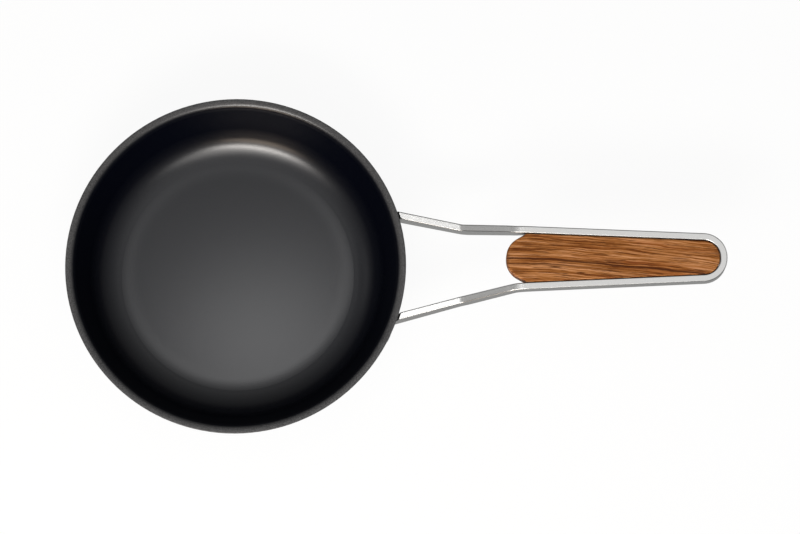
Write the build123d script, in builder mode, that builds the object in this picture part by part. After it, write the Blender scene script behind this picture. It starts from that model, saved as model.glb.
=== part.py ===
from build123d import *
import os
from math import atan2, cos, degrees, pi, radians, sin, sqrt, tan

# Omelette pan in millimetres, +Z up. The origin is the centre of the base's underside, and +X runs
# along the handle. Right and left are those of a cook who holds the handle and faces the bowl.

# Bowl
rim_radius = 100.0            # the outermost circle
inside_depth = 34.0
floor_thickness = 5.0
wall_thickness = 4.0
wall_lean = 24.0              # degrees outwards from upright
inner_corner_radius = 18.0    # floor to wall, inside
outer_corner_radius = 24.0    # base to wall, outside
rim_outer_rounding = 0.5
rim_inner_rounding = 4.5

# Steel disc pressed into the base, with the bowl's aluminium standing in its holes
disc_radius = 56.0
disc_thickness = 0.8
disc_clearance = 0.1
disc_hole_radius = 1.8
disc_margin = 11.0            # from the middles of the outermost holes to the disc's edge
disc_ring_count = 5
disc_ring_step = 6            # holes that each ring has more than the one inside it

# Brackets on the wall, with their studs and nuts
seat_gap = 0.15               # between the wall and a bracket
bracket_thickness = 1.6
bracket_width = 31.0          # round the wall
bracket_length = 15.5         # up the wall
bracket_middle = 26.5         # height of its middle above the base
bracket_corner_radius = 4.0
bracket_rounding = 0.4
stud_spacing = 20.0           # between the two studs of a bracket
stud_height = 25.5            # above the base
stud_radius = 2.0
stud_hole_clearance = 0.2
stud_end = 0.5                # what stands out of the nut
nut_width = 7.0               # across flats
nut_thickness = 2.4
nut_chamfer = 0.35
thread_clearance = 0.1

# Handle bar in plan: distances between the middles of its two sides
bar_width = 4.1
bar_rounding = 0.7
weld_gap = 0.1                # between the bar and what is welded to it
rim_spread = 58.6             # over the rim's edge
first_bend_spread = 42.9
second_bend_spread = 34.0
tip_spread = 23.6
plan_bend_radius = 25.0
tip_round_share = 0.97        # of the largest bend that fits between the sides

# Handle bar from the side
arm_drop = 2.3                # its top below the rim's top, over the rim's edge
arm_run = 32.6                # rim's edge to the first bend
arm_rise = 4.5
climb_run = 31.5              # first bend to the second
climb_rise = 17.8
grip_run = 122.8              # second bend to the tip
arm_depth = 13.7              # bar's top to its underside at the pan
bend_depth = 9.6              # the same at the first bend
grip_depth = 8.4              # the same from the second bend on
first_side_radius = 8.0       # inside of the first bend
second_side_radius = 18.0     # and of the second
arm_overrun = 20.0            # arm's length inside the rim's edge, before its end is cut to the bracket

# Grip: two wooden scales on a steel plate
scale_sink = 0.2              # the wood's top below the bar's
upper_scale_thickness = 3.2
lower_scale_thickness = 5.0
tang_thickness = 1.8
wood_gap = 0.25               # between the wood and the bar
wood_rounding = 0.9
palm_rounding = 1.5
nose_reach = 5.9              # wood's nose ahead of the second bend
nose_radius = 12.5
nose_flat = 15.0              # width between the nose's slanted sides, at its front
nose_slant = 30.0             # degrees from the handle's length to those sides
tang_setback = 0.6            # tang's nose behind the wood's
screw_count = 3
screw_pitch = 42.0
first_screw = 13.6            # behind the second bend
screw_radius = 1.5
screw_hole_clearance = 0.2
screw_head_radius = 2.8
screw_head_height = 1.4
screw_head_sink = 0.2
screw_socket_width = 2.0      # across flats
screw_socket_depth = 1.0
screw_tip_gap = 0.3           # from the screw's end to its insert's
insert_radius = 2.3
insert_height = 2.4
insert_clearance = 0.1

cut_overrun = 1.0             # how far a cut or a crossing runs past what it shapes

# Places worked out from the sizes
pan_height = floor_thickness + inside_depth
lean = radians(wall_lean)
rim_corner = rim_radius + rim_outer_rounding * (tan(lean) + 1 / cos(lean) - 1)
rim_inner = rim_corner - wall_thickness / cos(lean)
bracket_face = seat_gap + bracket_thickness
nut_face = bracket_face + nut_thickness
first_bend_x = rim_radius + arm_run
second_bend_x = first_bend_x + climb_run
tip_x = second_bend_x + grip_run
arm_top = pan_height - arm_drop
first_bend_top = arm_top + arm_rise
grip_top = first_bend_top + climb_rise
wood_top = grip_top - scale_sink
tang_top = wood_top - upper_scale_thickness
tang_bottom = tang_top - tang_thickness
wood_bottom = tang_bottom - lower_scale_thickness
nose_x = second_bend_x - nose_reach
screw_places = [(second_bend_x + first_screw + i * screw_pitch, 0) for i in range(screw_count)]
screw_foot = wood_bottom + screw_head_sink


def wall_radius(height):
    """Radius of the wall's outer face at a height above the base, where the wall is straight."""
    return rim_corner - (pan_height - height) * tan(lean)


def wall_plane(azimuth, height, distance):
    """Plane at a distance off the wall's outer face: X runs round the wall and Z out of it."""
    turn, radius = radians(azimuth), wall_radius(height)
    outwards = Vector(cos(lean) * cos(turn), cos(lean) * sin(turn), -sin(lean))
    foot = Vector(radius * cos(turn), radius * sin(turn), height)
    return Plane(foot + outwards * distance, x_dir=(-sin(turn), cos(turn), 0), z_dir=outwards)


def radial_plane(azimuth):
    """Upright plane through the pan's middle line: X runs outwards and Y up."""
    turn = radians(azimuth)
    return Plane((0, 0, 0), x_dir=(cos(turn), sin(turn), 0), z_dir=(sin(turn), -cos(turn), 0))


def stud_planes(azimuth, distance):
    """Planes of the two studs of the bracket at an azimuth, at a distance off the wall."""
    half_angle = degrees(stud_spacing / 2 / wall_radius(stud_height))
    return [wall_plane(azimuth + side * half_angle, stud_height, distance) for side in (-1, 1)]


def wall_band(inner, outer):
    """Section of a shell round the wall, between two distances off the wall's outer face."""
    near, far = inner / cos(lean), outer / cos(lean)
    low, high = wall_radius(0), wall_radius(pan_height)
    return Polygon(
        (low + near, 0), (low + far, 0), (high + far, pan_height), (high + near, pan_height), align=None
    )


def disc_face(radius, hole_radius):
    """Face of the base disc: a circle with rings of holes."""
    ring_pitch = (disc_radius - disc_margin) / disc_ring_count
    with BuildSketch() as face:
        Circle(radius)
        for ring in range(1, disc_ring_count + 1):
            with PolarLocations(ring * ring_pitch, ring * disc_ring_step):
                Circle(hole_radius, mode=Mode.SUBTRACT)
    return face.sketch


def arm_azimuth():
    """Direction in degrees from the pan's middle to where the right arm meets its bracket."""
    spread = (rim_spread - first_bend_spread) / 2 / arm_run
    radius = wall_radius(bracket_middle) + bracket_face / cos(lean)
    reach = rim_radius - spread * rim_spread / 2
    outside = rim_radius**2 + (rim_spread / 2) ** 2 - radius**2
    inwards = (reach - sqrt(reach**2 - (1 + spread**2) * outside)) / (1 + spread**2)
    return degrees(atan2(rim_spread / 2 + inwards * spread, rim_radius - inwards))


def loop_points(start_x):
    """Corners of the loop's middle line in plan, from the right arm round the tip to the left."""
    spread = (rim_spread - first_bend_spread) / 2 / arm_run
    right = [
        (start_x, rim_spread / 2 + (rim_radius - start_x) * spread),
        (first_bend_x, first_bend_spread / 2),
        (second_bend_x, second_bend_spread / 2),
        (tip_x - bar_width / 2, tip_spread / 2),
    ]
    return right + [(x, -y) for x, y in reversed(right)]


def loop_radii():
    """Bend radii at the corners of loop_points, without its two ends."""
    turn = pi / 2 - atan2((second_bend_spread - tip_spread) / 2, grip_run - bar_width / 2)
    tip_radius = tip_round_share * tip_spread / 2 / tan(turn / 2)
    half = [plan_bend_radius, plan_bend_radius, tip_radius]
    return half + half[::-1]


def below(corner, depth, slopes):
    """Corner of the bar's underside below a corner of its top, where two slopes meet."""
    return corner[0] + depth * tan(sum(slopes) / 2), corner[1] - depth


def grip_face(side_gap, setback):
    """Outline of what fills the loop: its sides follow the bar, and its nose faces the pan."""
    front, half_flat = nose_x + setback, nose_flat / 2
    half_width = half_flat + (tip_x - front) * tan(radians(nose_slant))
    with BuildSketch() as face:
        with BuildLine():
            loop = FilletPolyline(*loop_points(rim_radius), radius=loop_radii())
            Line(loop @ 1, loop @ 0)
        make_face()
        offset(amount=-bar_width / 2 - side_gap)
        with BuildLine():
            FilletPolyline(
                (tip_x, half_width), (front, half_flat), (front, -half_flat), (tip_x, -half_width),
                radius=[0, nose_radius, nose_radius, 0], close=True,
            )
        make_face(mode=Mode.INTERSECT)
    return face.sketch


azimuths = {"right": arm_azimuth(), "left": -arm_azimuth()}

# Bowl: one turned profile, with the disc's seat sunk in its base
with BuildPart() as pan_body:
    outer_foot = (wall_radius(0), 0)
    inner_foot = (rim_inner - inside_depth * tan(lean), floor_thickness)
    with BuildSketch(Plane.XZ):
        with BuildLine():
            FilletPolyline(
                (0, 0), outer_foot, (rim_corner, pan_height),
                (rim_inner, pan_height), inner_foot, (0, floor_thickness),
                radius=[
                    0, outer_corner_radius, rim_outer_rounding,
                    rim_inner_rounding, inner_corner_radius, 0,
                ],
                close=True,
            )
        make_face()
    revolve(axis=Axis.Z)
    with BuildSketch():
        add(disc_face(disc_radius + disc_clearance, disc_hole_radius - disc_clearance))
    extrude(amount=disc_thickness, mode=Mode.SUBTRACT)

with BuildPart() as induction_disc:
    with BuildSketch():
        add(disc_face(disc_radius, disc_hole_radius))
    extrude(amount=disc_thickness)

# Handle bar: its plan and its side view crossed, then its arms' ends cut to the brackets
with BuildPart() as handle_frame:
    arm_slope = atan2(arm_rise, arm_run)
    climb_slope = atan2(climb_rise, climb_run)
    root_x = rim_radius - arm_overrun
    end_x = tip_x + cut_overrun
    root = (root_x - cut_overrun, arm_top - (arm_overrun + cut_overrun) * tan(arm_slope))
    first_bend = (first_bend_x, first_bend_top)
    second_bend = (second_bend_x, grip_top)
    with BuildSketch():
        with BuildLine():
            FilletPolyline(*loop_points(root_x), radius=loop_radii())
        trace(line_width=bar_width)
    extrude(amount=grip_top + cut_overrun)
    with BuildSketch(Plane.XZ):
        with BuildLine():
            FilletPolyline(
                root, first_bend, second_bend, (end_x, grip_top), (end_x, grip_top - grip_depth),
                below(second_bend, grip_depth, (climb_slope, 0)),
                below(first_bend, bend_depth, (arm_slope, climb_slope)),
                (root[0], root[1] - arm_depth),
                radius=[
                    0, first_side_radius, second_side_radius + grip_depth, 0,
                    0, second_side_radius, first_side_radius + bend_depth, 0,
                ],
                close=True,
            )
        make_face()
    extrude(amount=rim_spread, both=True, mode=Mode.INTERSECT)
    bar_edges = edges() - edges().filter_by(Axis.Z) - edges().filter_by(Axis.Y)
    bar_edges += edges().filter_by(Axis.Y).filter_by_position(Axis.X, tip_x - 2 * bar_width, tip_x)
    fillet(bar_edges.filter_by_position(Axis.X, root_x + bar_width, tip_x), radius=bar_rounding)
    with BuildSketch(Plane.XZ):
        wall_band(-wall_radius(0) * cos(lean), bracket_face + weld_gap)
    revolve(axis=Axis.Z, mode=Mode.SUBTRACT)

# One curved bracket for each arm
brackets = {}
for side, azimuth in azimuths.items():
    with BuildPart() as bracket:
        half_angle = degrees(bracket_width / rim_radius)
        with BuildSketch(radial_plane(azimuth - half_angle)):
            wall_band(seat_gap, bracket_face)
        revolve(axis=Axis.Z, revolution_arc=2 * half_angle)
        with BuildSketch(wall_plane(azimuth, bracket_middle, 0)):
            RectangleRounded(bracket_width, bracket_length, bracket_corner_radius)
        extrude(amount=bracket_width, both=True, mode=Mode.INTERSECT)
        outer_face = faces().filter_by(GeomType.CONE).sort_by(SortBy.AREA)[-1]
        fillet(outer_face.edges(), radius=bracket_rounding)
        with BuildSketch(*stud_planes(azimuth, 0)):
            Circle(stud_radius + stud_hole_clearance)
        extrude(amount=bracket_width, mode=Mode.SUBTRACT)
    brackets[side] = bracket.part

# Two studs and two nuts for each bracket
with BuildPart() as weld_studs:
    for azimuth in azimuths.values():
        with BuildSketch(*stud_planes(azimuth, 0)):
            Circle(stud_radius)
        extrude(amount=nut_face)
        with BuildSketch(*stud_planes(azimuth, nut_face)):
            Circle(stud_radius)
        extrude(amount=stud_end, taper=45)

with BuildPart() as stud_nuts:
    for azimuth in azimuths.values():
        with BuildSketch(*stud_planes(azimuth, bracket_face)):
            RegularPolygon(nut_width / 2, 6, major_radius=False)
            Circle(stud_radius + thread_clearance, mode=Mode.SUBTRACT)
        extrude(amount=nut_thickness)
    rings = edges().filter_by(GeomType.LINE).filter_by(lambda edge: edge.length > nut_width / 2)
    chamfer(rings, length=nut_chamfer)

# Grip: plate, upper and lower scale, and what clamps them
with BuildPart() as tang_plate:
    with BuildSketch(Plane.XY.offset(tang_bottom)):
        add(grip_face(weld_gap, tang_setback))
        with Locations(*screw_places):
            Circle(screw_radius + screw_hole_clearance, mode=Mode.SUBTRACT)
    extrude(amount=tang_thickness)

with BuildPart() as upper_scale:
    with BuildSketch(Plane.XY.offset(tang_top)):
        add(grip_face(wood_gap, 0))
    extrude(amount=upper_scale_thickness)
    fillet(faces().sort_by(Axis.Z)[-1].edges(), radius=wood_rounding)
    with BuildSketch(Plane.XY.offset(tang_top)):
        with Locations(*screw_places):
            Circle(insert_radius + insert_clearance)
    extrude(amount=insert_height + insert_clearance, mode=Mode.SUBTRACT)

with BuildPart() as lower_scale:
    with BuildSketch(Plane.XY.offset(wood_bottom)):
        add(grip_face(wood_gap, 0))
    extrude(amount=lower_scale_thickness)
    fillet(faces().sort_by(Axis.Z)[0].edges(), radius=palm_rounding)
    with Locations(*[Plane((x, y, screw_foot), z_dir=(0, 0, -1)) for x, y in screw_places]):
        CounterSinkHole(
            screw_radius + screw_hole_clearance, screw_head_radius + screw_hole_clearance,
            counter_sink_angle=90,
        )

with BuildPart() as scale_screws:
    screw_tip = tang_top + insert_height - screw_tip_gap
    with BuildSketch(Plane.XY.offset(screw_foot)):
        with Locations(*screw_places):
            Circle(screw_radius)
    extrude(amount=screw_tip - screw_foot)
    with BuildSketch(Plane.XY.offset(screw_foot)):
        with Locations(*screw_places):
            Circle(screw_head_radius)
    extrude(amount=screw_head_height, taper=45)
    with BuildSketch(Plane.XY.offset(screw_foot)):
        with Locations(*screw_places):
            RegularPolygon(screw_socket_width / 2, 6, major_radius=False)
    extrude(amount=screw_socket_depth, mode=Mode.SUBTRACT)

with BuildPart() as scale_inserts:
    with BuildSketch(Plane.XY.offset(tang_top)):
        with Locations(*screw_places):
            Circle(insert_radius)
            Circle(screw_radius + thread_clearance, mode=Mode.SUBTRACT)
    extrude(amount=insert_height)

pieces = {
    "pan_body": pan_body.part,
    "induction_disc": induction_disc.part,
    "handle_frame": handle_frame.part,
    "right_bracket": brackets["right"],
    "left_bracket": brackets["left"],
    "weld_studs": weld_studs.part,
    "stud_nuts": stud_nuts.part,
    "tang_plate": tang_plate.part,
    "upper_scale": upper_scale.part,
    "lower_scale": lower_scale.part,
    "scale_screws": scale_screws.part,
    "scale_inserts": scale_inserts.part,
}

os.makedirs("parts", exist_ok=True)
for name, piece in pieces.items():
    piece.label = name
    export_step(piece, f"parts/{name}.step")
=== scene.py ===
from math import pi, radians, sin, tan

import bpy
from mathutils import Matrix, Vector

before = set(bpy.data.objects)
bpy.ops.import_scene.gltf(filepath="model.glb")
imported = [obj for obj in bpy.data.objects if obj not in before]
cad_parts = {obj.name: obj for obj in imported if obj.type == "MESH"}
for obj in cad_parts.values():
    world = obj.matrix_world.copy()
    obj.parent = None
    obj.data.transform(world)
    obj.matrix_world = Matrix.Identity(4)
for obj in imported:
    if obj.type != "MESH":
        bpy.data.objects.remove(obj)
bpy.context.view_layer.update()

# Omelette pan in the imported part's frame: +Z up, +X along the handle, the base's underside at Z = 0.
# Places are in metres. The finishes are worked out in millimetres, because their detail is that small.
MM_PER_METRE = 1000.0

# Bowl, mm
RECESS_RADIUS, RECESS_DEPTH = 56.05, 0.82     # of the base's recess for the disc
RIM_TOP = 39.0
RIM_RUBBED_AND_SHEEN_FROM, RIM_RUBBED_AND_SHEEN_FULL = RIM_TOP - 1.4, RIM_TOP - 0.3     # heights between which the rim's rubbed wear and painted sheen set in
WALL_FROM, WALL_FULL = 12.0, 19.0     # heights between which the inside bends into the wall
WALL_STILL, WALL_END = RIM_TOP - 4.5, RIM_TOP - 1.5     # heights between which the wall rounds off
WALL_MIDDLE = 80.7            # radius at Z = 0 of the line midway through the wall
WALL_SPREAD = 0.445           # widening of that line for each mm of height
FLOOR_EDGE = 69.1             # radius at which the flat floor starts to bend
UNDER_FLOOR = 4.2             # height just under the floor's upper side
BEND_RADIUS = 18.0            # of the bend between floor and wall
EASE_REACH = 12.0             # each way from the floor's edge, over which it eases into the bend
EASE_HEIGHT = EASE_REACH ** 2 / (12 * BEND_RADIUS)     # with it the curve has no jump at the floor's edge

# Handle bar's middle line in plan, mm: X and distance from Y = 0 at the rim, the bends and the tip's arc
RIM_X, RIM_HALF = 100.0, 29.3
FIRST_BEND_X, FIRST_BEND_HALF = 132.6, 21.45
SECOND_BEND_X, SECOND_BEND_HALF = 164.1, 17.0
TIP_X, TIP_HALF = 273.6, 11.3

# Handle bar's top from the side, mm
ARM_TOP, FIRST_BEND_TOP, GRIP_TOP = 36.7, 41.2, 59.0

# Wood's grain, mm: it drops towards -Y from the nose to the tip
GRAIN_FROM, GRAIN_TO, GRAIN_DROP = 155.0, 285.0, 11.5
GRAIN_CURVE = 1.35            # power that makes the drop start gently
SWAY_WIDTH, WOBBLE_WIDTH = 2.4, 0.7     # of its lines' long and short swings
SECOND_VEIN_FULL, SECOND_VEIN_END = 190.0, 225.0
NOSE_X = 158.2                # of the wood's end towards the pan
NOSE_DARK, NOSE_PALE = NOSE_X + 1.0, NOSE_X + 2.2     # the end's darkening fades out between these

# Textures, in lumps a millimetre along X, Y and Z
COATING_GRAIN = (1.6, 1.6, 1.6)
COATING_FLECKS = (2.4, 2.4, 2.4)
COATING_CLOUDS = (0.03, 0.03, 0.03)
STEEL_LINES = (0.06, 9.0, 9.0)
STEEL_STREAKS = (0.02, 1.2, 1.2)
METAL_GRAIN = (3.0, 3.0, 3.0)
WOOD_SWAY = (0.035, 0.10, 0.10)
WOOD_WOBBLE = (0.16, 0.35, 0.35)
WOOD_BANDS = (0.014, 0.42, 0.25)
WOOD_STREAKS = (0.032, 1.8, 0.9)
WOOD_PORES = (0.09, 2.5, 1.3)
WOOD_REDNESS = (0.02, 0.3, 0.3)

# Height of each finish's texture, mm
COATING_RELIEF, METAL_RELIEF, WOOD_RELIEF = 0.012, 0.004, 0.025

# Colours
COATING_BLACK, COATING_FLECK = (0.0006, 0.0010, 0.0034), (0.009, 0.010, 0.014)
# The rim's paler greys are partly rubbed wear and partly painted sheen.
RUBBED_AND_SHEEN_DARK, RUBBED_AND_SHEEN_PALE = (0.026, 0.026, 0.027), (0.078, 0.078, 0.080)
BARE_ALUMINIUM = (0.60, 0.60, 0.61)
STUD_ALUMINIUM = (0.70, 0.70, 0.71)
# The bar's edge and side colours are darker copies of its top's steel: painted shade.
BAR_TOP = (0.85, 0.845, 0.83)
BAR_EDGE_PAINTED_SHADE = (0.28, 0.28, 0.277)
BAR_SIDE_PAINTED_SHADE = (0.62, 0.62, 0.61)
DISC_STEEL = (0.60, 0.60, 0.59)
SHEET_STEEL = (0.62, 0.62, 0.61)
TURNED_STEEL = (0.64, 0.64, 0.64)
STEEL_GLANCE = (0.32, 0.32, 0.32)     # tint of steel seen at a low angle
BRASS = (0.70, 0.50, 0.22)
WOOD_TONES = (
    (0.0, (0.084, 0.017, 0.001)),
    (0.3, (0.215, 0.067, 0.010)),
    (0.55, (0.355, 0.138, 0.035)),
    (1.0, (0.560, 0.265, 0.118)),
)
WOOD_RED = (0.34, 0.100, 0.024)
WOOD_DARK = (0.060, 0.015, 0.003)
FLOOR_PAINT = (0.85, 0.85, 0.85)
WHITE = (1.0, 1.0, 1.0)

# Surroundings: the dome's level at elevations in degrees, and how evenly white the floor is seen
DOME_LEVELS = (
    (0, 0.5), (4, 0.12), (12, 0.12), (35, 0.24), (55, 0.40), (68, 0.66), (78, 0.89), (90, 0.89),
)
FLOOR_HALF = 8.0              # metres, half the floor's side
FLOOR_EVENNESS = 0.93

# Camera: above the handle's root, set back towards -Y and tilted to face it
CAMERA_PLACE = (0.0964, -0.4579, 2.3418)
CAMERA_TILT = 11.21           # degrees from straight down
CAMERA_ROLL = -0.12           # degrees about its line of sight
CAMERA_LENS, CAMERA_SENSOR = 180.2, 36.0     # mm
CAMERA_NEAR, CAMERA_FAR = 0.1, 100.0         # metres, between which it sees


class Shade:
    """A value in a finish. Sums, products, powers and comparisons of such values add Math nodes."""

    def __init__(self, finish, socket):
        self.finish = finish
        self.socket = socket

    def __add__(self, other):
        return self.finish.maths("ADD", self, other)

    def __radd__(self, other):
        return self.finish.maths("ADD", other, self)

    def __sub__(self, other):
        return self.finish.maths("SUBTRACT", self, other)

    def __rsub__(self, other):
        return self.finish.maths("SUBTRACT", other, self)

    def __mul__(self, other):
        return self.finish.maths("MULTIPLY", self, other)

    def __rmul__(self, other):
        return self.finish.maths("MULTIPLY", other, self)

    def __pow__(self, other):
        return self.finish.maths("POWER", self, other)

    def __rpow__(self, other):
        return self.finish.maths("POWER", other, self)

    def __abs__(self):
        return self.finish.maths("ABSOLUTE", self)

    def __lt__(self, other):
        return self.finish.maths("LESS_THAN", self, other)

    def __gt__(self, other):
        return self.finish.maths("GREATER_THAN", self, other)


class Finish:
    """The nodes of a material or of the surroundings."""

    def __init__(self, block):
        block.use_nodes = True
        self.block = block
        self.tree = block.node_tree
        self.tree.nodes.clear()

    def node(self, kind, settings=None, sockets=None, output=0):
        """Adds a node: its settings are set first, then its sockets get their values or links."""
        node = self.tree.nodes.new(kind)
        for name, value in (settings or {}).items():
            if name == "stops":
                for stop in node.color_ramp.elements[1:]:
                    node.color_ramp.elements.remove(stop)
                for place, colour in value:
                    node.color_ramp.elements.new(place).color = opaque(colour)
                node.color_ramp.elements.remove(node.color_ramp.elements[0])
            else:
                setattr(node, name, value)
        for name, value in (sockets or {}).items():
            if isinstance(value, Shade):
                self.tree.links.new(value.socket, node.inputs[name])
            else:
                node.inputs[name].default_value = value
        return Shade(self, node.outputs[output]) if node.outputs else None

    def maths(self, operation, *values):
        return self.node("ShaderNodeMath", {"operation": operation}, dict(enumerate(values)))

    def largest(self, *values):
        largest = values[0]
        for value in values[1:]:
            largest = self.maths("MAXIMUM", largest, value)
        return largest

    def place(self):
        """Place on the part in millimetres."""
        place = self.node("ShaderNodeTexCoord", output="Object")
        return self.scaled(place, (MM_PER_METRE, MM_PER_METRE, MM_PER_METRE))

    def scaled(self, vector, factors):
        return self.node("ShaderNodeVectorMath", {"operation": "MULTIPLY"}, {0: vector, 1: factors})

    def parts(self, vector):
        """The vector's X, Y and Z."""
        split = self.node("ShaderNodeSeparateXYZ", sockets={"Vector": vector}).socket.node
        return [Shade(self, socket) for socket in split.outputs]

    def joined(self, x, y, z):
        return self.node("ShaderNodeCombineXYZ", sockets={"X": x, "Y": y, "Z": z})

    def noise(self, vector, per_mm, detail=2.0, rough=0.5):
        """Noise from 0 to 1 around 0.5, with so many lumps a millimetre along X, Y and Z."""
        return self.node("ShaderNodeTexNoise", sockets={
            "Vector": self.scaled(vector, per_mm), "Scale": 1.0, "Detail": detail, "Roughness": rough,
        })

    def fade(self, value, start, end, low=0.0, high=1.0):
        """Goes from low to high while the value goes from start to end, and stays there."""
        return self.node("ShaderNodeMapRange", sockets={
            "Value": value, "From Min": start, "From Max": end, "To Min": low, "To Max": high,
        })

    def ramp(self, value, stops):
        """A colour that runs through the stops, each a place from 0 to 1 and its colour."""
        return self.node("ShaderNodeValToRGB", {"stops": stops}, {"Fac": value})

    def mix(self, factor, first, second):
        """A colour between two colours. The Mix node's colour sockets go by number, as names repeat."""
        colours = [c if isinstance(c, Shade) else opaque(c) for c in (first, second)]
        sockets = {0: factor, 6: colours[0], 7: colours[1]}
        return self.node("ShaderNodeMix", {"data_type": "RGBA"}, sockets, output=2)

    def bump(self, height):
        """Normal of a surface with such heights, in millimetres."""
        return self.node("ShaderNodeBump", sockets={
            "Height": height, "Distance": 1 / MM_PER_METRE, "Strength": 1.0,
        })

    def layer(self, **sockets):
        """Principled shader. Underscores in a socket's name stand for spaces."""
        named = {name.replace("_", " "): value for name, value in sockets.items()}
        return self.node("ShaderNodeBsdfPrincipled", sockets=named)

    def blend(self, factor, first, second):
        """A shader between two shaders."""
        return self.node("ShaderNodeMixShader", sockets={0: factor, 1: first, 2: second})

    def surface(self, shader):
        """Ends the finish in the shader."""
        self.node("ShaderNodeOutputMaterial", sockets={"Surface": shader})
        return self.block


def new_finish(name):
    return Finish(bpy.data.materials.new(name))


def opaque(colour):
    """The colour with full alpha, as sockets take it."""
    return (*colour, 1)


def swing(noise, width):
    """Swings by the width, around zero, as the noise goes from 0 to 1."""
    return (noise - 0.5) * width


def radius_at(x, y):
    """Distance from X = 0, Y = 0."""
    return (x * x + y * y) ** 0.5


def nonstick_coating():
    """Satin black coating with a fine sandy grain, and bare aluminium in the holes of the base's disc.

    It is duller on the inner wall. A bump eases the flat floor into the bend around it.
    """
    finish = new_finish("nonstick_coating")
    place = finish.place()
    x, y, z = finish.parts(place)
    radius = radius_at(x, y)
    bare = (radius < RECESS_RADIUS) * (z < RECESS_DEPTH)
    rim = finish.fade(z, RIM_RUBBED_AND_SHEEN_FROM, RIM_RUBBED_AND_SHEEN_FULL)
    within = radius < z * WALL_SPREAD + WALL_MIDDLE
    wall = finish.fade(z, WALL_FROM, WALL_FULL) * within * finish.fade(z, WALL_END, WALL_STILL)
    past_edge = radius - FLOOR_EDGE
    nearness = finish.fade(abs(past_edge), EASE_REACH, 0.0)
    ease = finish.maths("SIGN", past_edge) * (1 - nearness ** 3.0) - 1
    dish = ease * (z > UNDER_FLOOR) * EASE_HEIGHT
    grain = finish.noise(place, COATING_GRAIN, detail=3.0, rough=0.6)
    cloud = finish.noise(place, COATING_CLOUDS)
    fleck = finish.fade(finish.noise(place, COATING_FLECKS), 0.62, 0.74)
    black = finish.mix(fleck, COATING_BLACK, COATING_FLECK)
    # Paler grey on the rim: partly rubbed wear, partly painted sheen.
    rubbed_and_sheen = finish.mix(finish.fade(grain, 0.35, 0.65), RUBBED_AND_SHEEN_DARK, RUBBED_AND_SHEEN_PALE)
    look = {
        "Base_Color": finish.mix(bare, finish.mix(rim, black, rubbed_and_sheen), BARE_ALUMINIUM),
        "Metallic": bare,
        "Normal": finish.bump(grain * COATING_RELIEF + dish),
    }
    dull_roughness = 0.27 + cloud * 0.04 + grain * 0.03 + bare * 0.05 + rim * 0.12
    satin_roughness = 0.275 + grain * 0.03
    dull = finish.layer(Roughness=dull_roughness, Specular_IOR_Level=0.10, **look)
    satin = finish.layer(Roughness=satin_roughness, Specular_IOR_Level=0.65, **look)
    worn = rim * 0.6
    patches = 0.80 + grain * 0.3
    film = (1 - wall) * (1 - bare) * (1 - worn) * patches
    return finish.surface(finish.blend(film, dull, satin))


def satin_steel(finish, lines, colour, roughness):
    """Steel with fine grain lines along X of the given places, which are in millimetres."""
    fine = finish.noise(lines, STEEL_LINES, detail=4.0, rough=0.6)
    broad = finish.noise(lines, STEEL_STREAKS)
    shade = finish.fade(fine * 0.6 + broad * 0.4, 0.3, 0.7, low=0.88)
    return finish.surface(finish.layer(
        Base_Color=finish.scaled(colour, finish.joined(shade, shade, shade)),
        Metallic=1.0,
        Specular_Tint=opaque(STEEL_GLANCE),
        Roughness=roughness + swing(fine, 0.12) + swing(broad, 0.06),
        Normal=finish.bump(fine * METAL_RELIEF),
    ))


def handle_steel():
    """Satin stainless bar with grain that follows it from the pan round the tip. Its edges and sides get a
    darker colour by which way they face: painted shade.
    """
    finish = new_finish("handle_steel")
    x, y, z = finish.parts(finish.place())
    to_first = finish.fade(x, RIM_X, FIRST_BEND_X)
    to_second = finish.fade(x, FIRST_BEND_X, SECOND_BEND_X)
    to_tip = finish.fade(x, SECOND_BEND_X, TIP_X)
    half = RIM_HALF + to_first * (FIRST_BEND_HALF - RIM_HALF)
    half = half + to_second * (SECOND_BEND_HALF - FIRST_BEND_HALF) + to_tip * (TIP_HALF - SECOND_BEND_HALF)
    top = ARM_TOP + to_first * (FIRST_BEND_TOP - ARM_TOP) + to_second * (GRIP_TOP - FIRST_BEND_TOP)
    at_tip = x > TIP_X
    past = x - TIP_X
    aside = abs(y)
    turn = finish.maths("ARCTAN2", past, aside) * TIP_HALF
    along = x + at_tip * (turn - past)
    across = aside - half + at_tip * (radius_at(past, y) - aside)
    # Edges and sides are painted darker than the top by which way they face: painted shade, not the steel's
    # own colour.
    facing = finish.parts(finish.node("ShaderNodeNewGeometry", output="Normal"))
    upward = abs(facing[2])
    painted_shade_facing = finish.largest(finish.fade(upward, 0.75, 0.45), finish.fade(abs(facing[1]), 0.20, 0.45))
    painted_shade_edge_or_side = finish.mix(finish.fade(upward, 0.35, 0.15), BAR_EDGE_PAINTED_SHADE, BAR_SIDE_PAINTED_SHADE)
    colour = finish.mix(painted_shade_facing, BAR_TOP, painted_shade_edge_or_side)
    return satin_steel(finish, finish.joined(along, across, z - top), colour, roughness=0.27)


def disc_steel():
    """Steel with grain in rings round the pan's middle."""
    finish = new_finish("disc_steel")
    x, y, z = finish.parts(finish.place())
    return satin_steel(finish, finish.joined(z, radius_at(x, y), z), DISC_STEEL, roughness=0.30)


def plain_metal(name, colour, roughness):
    """Bare metal with a fine even texture."""
    finish = new_finish(name)
    grain = finish.noise(finish.place(), METAL_GRAIN, detail=3.0)
    darker = tuple(0.85 * part for part in colour)
    return finish.surface(finish.layer(
        Base_Color=finish.mix(grain, darker, colour),
        Metallic=1.0,
        Roughness=roughness + swing(grain, 0.15),
        Normal=finish.bump(grain * METAL_RELIEF),
    ))


def vein(line, streaks, place, waver, core, edge):
    """Dark line in the wood, full as far as its core and gone at its edge. Its sizes are in millimetres."""
    return line.finish.fade(abs(line - place + swing(streaks, waver)), edge, core)


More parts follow.
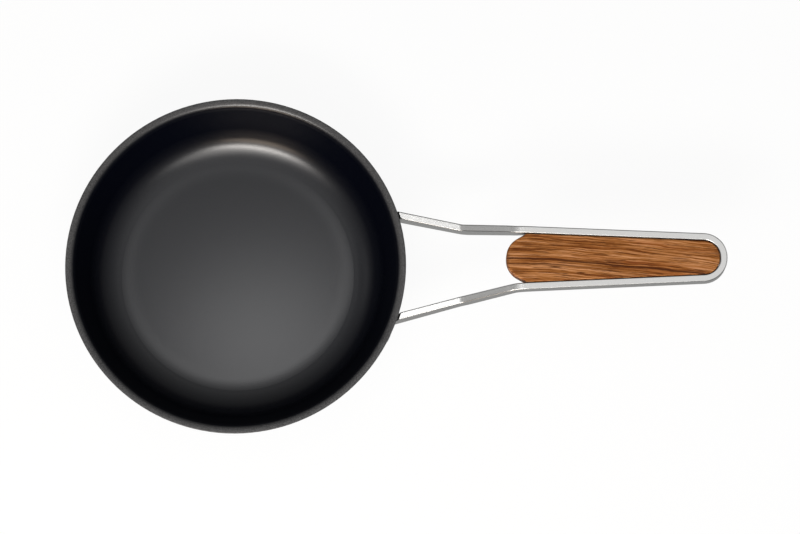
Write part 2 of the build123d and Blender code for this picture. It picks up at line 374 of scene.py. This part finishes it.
def grip_wood():
    """Oiled reddish wood with dark veins and short pores along a grain that drops towards the tip."""
    finish = new_finish("grip_wood")
    place = finish.place()
    x, y, z = finish.parts(place)
    drop = finish.fade(x, GRAIN_FROM, GRAIN_TO) ** GRAIN_CURVE * GRAIN_DROP
    sway = swing(finish.noise(place, WOOD_SWAY), SWAY_WIDTH)
    wobble = swing(finish.noise(place, WOOD_WOBBLE), WOBBLE_WIDTH)
    line = y + drop + sway + wobble
    grain = finish.joined(x, line, z)
    bands = finish.noise(grain, WOOD_BANDS)
    streaks = finish.noise(grain, WOOD_STREAKS, detail=4.0, rough=0.65)
    pores = finish.fade(finish.noise(grain, WOOD_PORES), 0.43, 0.35)
    tone = finish.fade(bands * 0.35 + streaks * 0.65, 0.40, 0.60)
    red = finish.fade(finish.noise(grain, WOOD_REDNESS), 0.5, 0.7, high=0.35)
    colour = finish.mix(red, finish.ramp(tone, WOOD_TONES), WOOD_RED)
    main = vein(line, streaks, place=0.2, waver=0.7, core=0.35, edge=0.80)
    second = vein(line, streaks, place=-2.7, waver=1.0, core=0.25, edge=0.65)
    second = second * finish.fade(x, SECOND_VEIN_END, SECOND_VEIN_FULL)
    nose = finish.fade(x, NOSE_PALE, NOSE_DARK)
    dark = finish.largest(main * 0.9, second * 0.72, pores * 0.85, nose * 0.55)
    return finish.surface(finish.layer(
        Base_Color=finish.mix(dark, colour, WOOD_DARK),
        Roughness=0.52 + swing(streaks, 0.2) + dark * 0.15,
        Specular_IOR_Level=0.12,
        Normal=finish.bump((streaks - dark) * WOOD_RELIEF),
    ))


def dress_nodes():
    """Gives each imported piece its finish."""
    sheet = plain_metal("bracket_steel", SHEET_STEEL, roughness=0.34)
    turned = plain_metal("fastener_steel", TURNED_STEEL, roughness=0.28)
    wood = grip_wood()
    finishes = {
        "pan_body": nonstick_coating(),
        "induction_disc": disc_steel(),
        "handle_frame": handle_steel(),
        "right_bracket": sheet,
        "left_bracket": sheet,
        "weld_studs": plain_metal("stud_aluminium", STUD_ALUMINIUM, roughness=0.36),
        "stud_nuts": turned,
        "tang_plate": sheet,
        "upper_scale": wood,
        "lower_scale": wood,
        "scale_screws": turned,
        "scale_inserts": plain_metal("insert_brass", BRASS, roughness=0.32),
    }
    for name, finish in finishes.items():
        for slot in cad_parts[name].material_slots:
            slot.material = finish


def new_object(name, data):
    thing = bpy.data.objects.new(name, data)
    bpy.context.scene.collection.objects.link(thing)
    return thing


def pale_floor():
    """White floor that the eye and reflections see lit almost evenly, with the pan's soft shadow kept."""
    mesh = bpy.data.meshes.new("floor")
    corners = [(x * FLOOR_HALF, y * FLOOR_HALF, 0) for x, y in ((-1, -1), (1, -1), (1, 1), (-1, 1))]
    mesh.from_pydata(corners, [], [(0, 1, 2, 3)])
    finish = new_finish("floor_paint")
    path = finish.node("ShaderNodeLightPath").socket.node
    rays = [Shade(finish, path.outputs[f"Is {kind} Ray"]) for kind in ("Camera", "Glossy", "Transmission")]
    seen = finish.largest(*rays)
    paint = finish.node("ShaderNodeBsdfDiffuse", sockets={"Color": opaque(FLOOR_PAINT)})
    white = finish.node("ShaderNodeEmission", sockets={"Color": opaque(WHITE), "Strength": 1.0})
    mesh.materials.append(finish.surface(finish.blend(seen * FLOOR_EVENNESS, paint, white)))
    new_object("floor", mesh)


def softbox(name, place, aim, width, height, radiance, colour=WHITE, spread=180):
    """Oval lamp with a radiance on its axis, whose light fades out at half the spread, in degrees."""
    lamp = bpy.data.lights.new(name, "AREA")
    lamp.shape = "ELLIPSE"
    lamp.size, lamp.size_y = width, height
    lamp.color = colour
    lamp.spread = radians(spread)
    half_spread = radians(spread) / 2
    focus = tan(half_spread) / (tan(half_spread) - half_spread)
    lamp.energy = radiance * pi * (pi * width * height / 4) / focus
    lamp_object = new_object(name, lamp)
    lamp_object.location = place
    lamp_object.rotation_euler = (Vector(aim) - Vector(place)).to_track_quat("-Z", "Y").to_euler()


def studio_light():
    """A dome that is bright overhead and dim to the sides, two narrow lamps above and four wide ones."""
    world = bpy.data.worlds.new("studio")
    bpy.context.scene.world = world
    finish = Finish(world)
    height = finish.parts(finish.node("ShaderNodeTexCoord", output="Generated"))[2]
    stops = [(sin(radians(elevation)), (level, level, level)) for elevation, level in DOME_LEVELS]
    sky = finish.node("ShaderNodeBackground", sockets={"Color": finish.ramp(height, stops), "Strength": 1.0})
    finish.node("ShaderNodeOutputWorld", sockets={"Surface": sky})
    softbox(
        "overhead", place=(-0.006, 0.066, 0.60), aim=(0.014, -0.042, 0.005),
        width=0.11, height=0.085, radiance=11.5, spread=20,
    )
    softbox(
        "above_arms", place=(-0.13, 0.150, 0.89), aim=(0.105, -0.017, 0.04),
        width=0.10, height=0.15, radiance=6.2, spread=10,
    )
    softbox(
        "front", place=(-0.228, -0.943, 0.866), aim=(0, 0, 0),
        width=0.90, height=0.29, radiance=19.5, colour=(1.0, 0.955, 0.91),
    )
    softbox(
        "front_glow", place=(-0.05, -0.80, 1.02), aim=(0, 0, 0),
        width=1.3, height=0.55, radiance=2.9, colour=(1.0, 0.97, 0.94),
    )
    softbox(
        "front_low", place=(-0.30, -1.21, 0.36), aim=(0, 0, 0),
        width=0.9, height=0.33, radiance=4.2, colour=(1.0, 0.80, 0.62),
    )
    softbox(
        "bend_side", place=(-1.05, 0.29, 0.90), aim=(0.17, 0, 0.05),
        width=0.5, height=0.5, radiance=0.30,
    )


def photo_camera():
    """Camera that stands where the photograph was taken from."""
    camera = bpy.data.cameras.new("camera")
    camera.lens, camera.sensor_width = CAMERA_LENS, CAMERA_SENSOR
    camera.clip_start, camera.clip_end = CAMERA_NEAR, CAMERA_FAR
    camera_object = new_object("camera", camera)
    camera_object.location = CAMERA_PLACE
    camera_object.rotation_mode = "ZYX"
    camera_object.rotation_euler = (radians(CAMERA_TILT), 0, radians(CAMERA_ROLL))
    bpy.context.scene.camera = camera_object


dress_nodes()
pale_floor()
studio_light()
photo_camera()
bpy.context.scene.view_settings.view_transform = "Standard"
